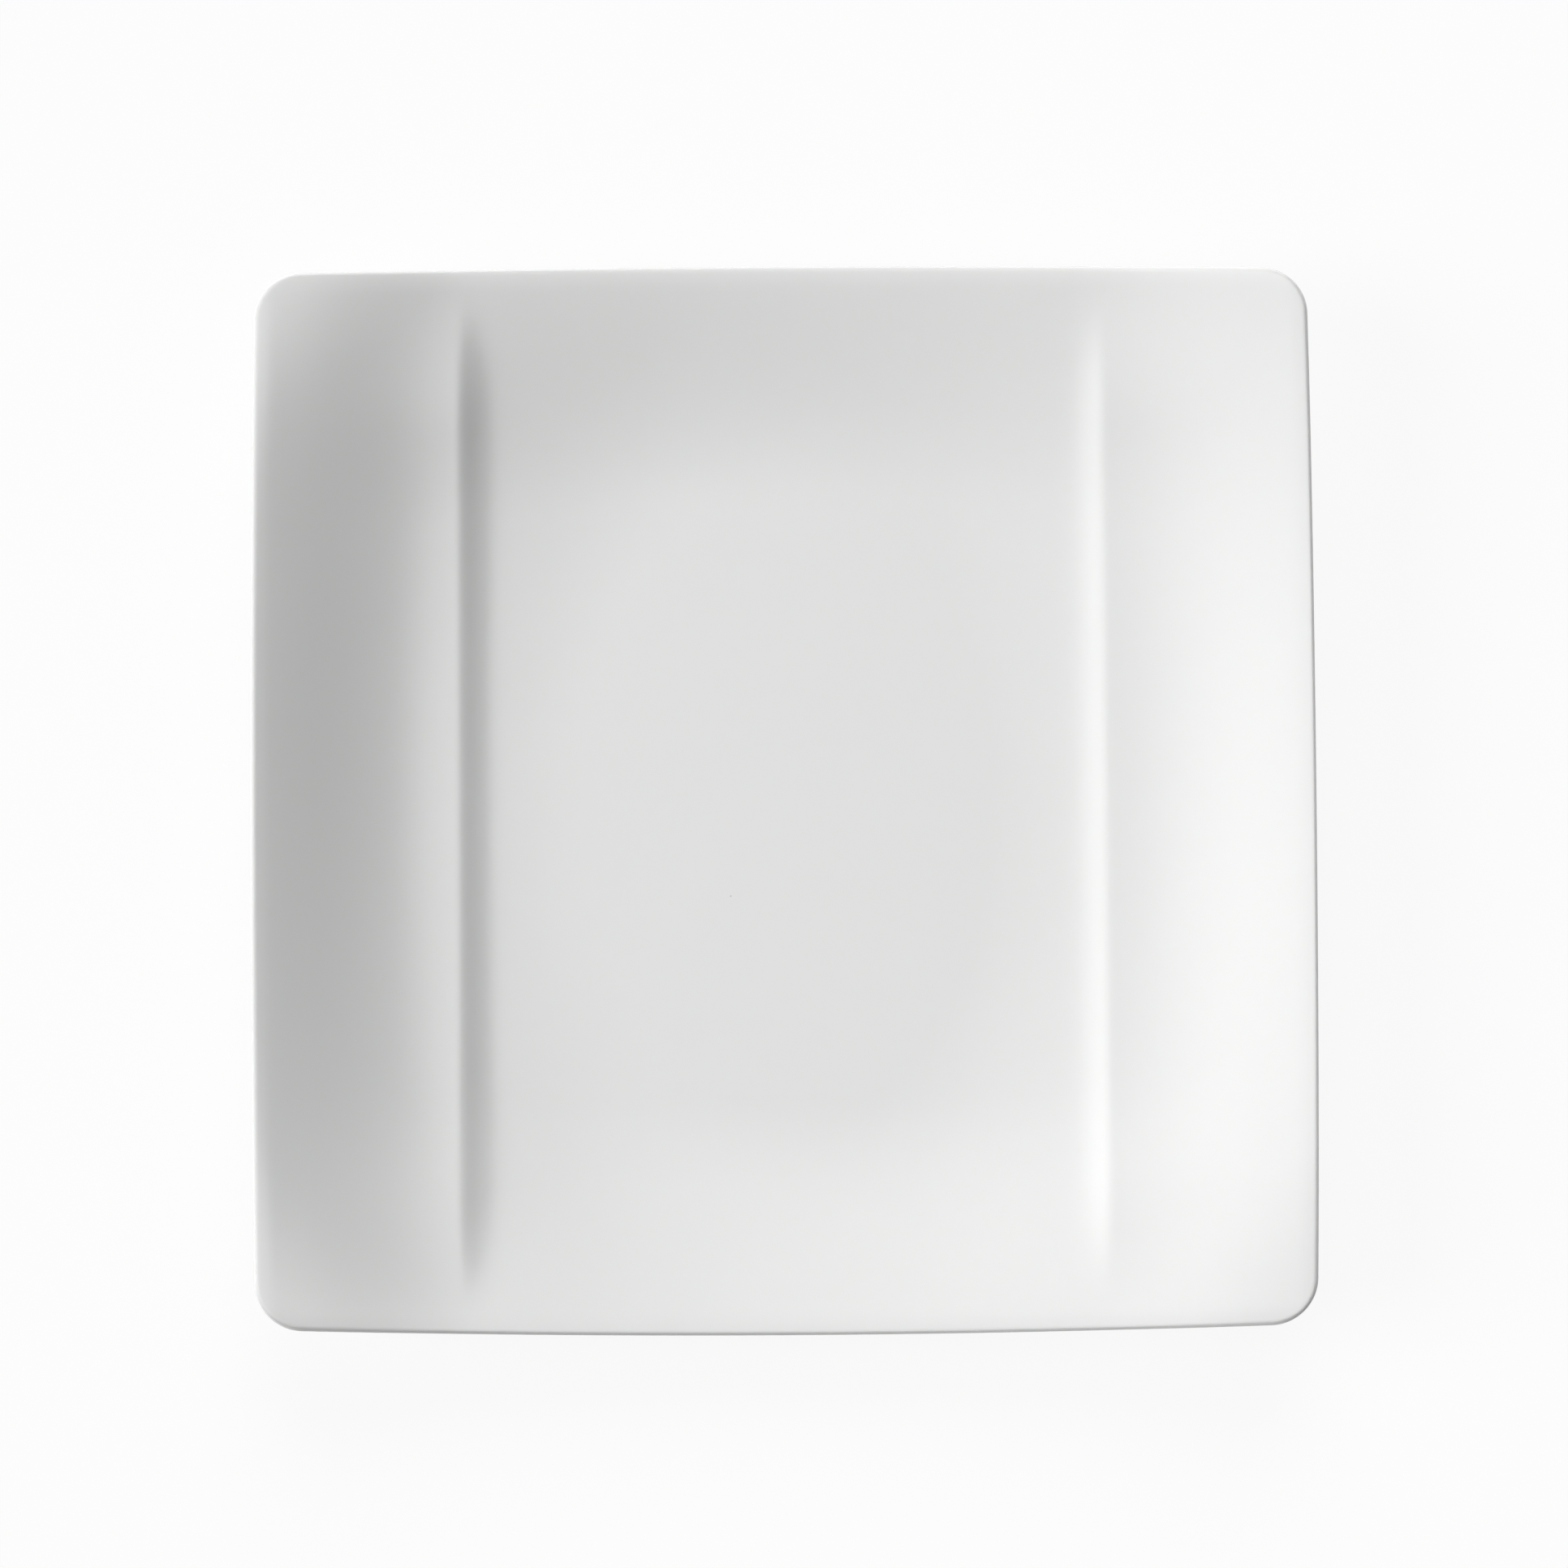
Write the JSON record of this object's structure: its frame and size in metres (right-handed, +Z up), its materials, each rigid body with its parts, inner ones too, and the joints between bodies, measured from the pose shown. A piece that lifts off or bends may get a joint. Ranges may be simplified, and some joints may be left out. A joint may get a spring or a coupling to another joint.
{
  "type": "square breakfast plate",
  "caption": "Square white porcelain plate with a flat well, two sides folded up high, two low ends, a straight pleat beside each side and a round foot ring.",
  "frame": {"origin": "on the table, under the middle of the plate", "axes": "+Z up, out of the well; the pleats run along Y, beside the -X and +X sides"},
  "size_m": [0.2306, 0.2332, 0.0228],
  "materials": {
    "bare_porcelain": "unglazed, fine matt",
    "white_glaze": "glossy clear glaze over white porcelain"
  },
  "bodies": {
    "root": {"porcelain_body": "bare_porcelain", "outer_glaze": "white_glaze", "base_glaze": "white_glaze"}
  },
  "joints": []
}
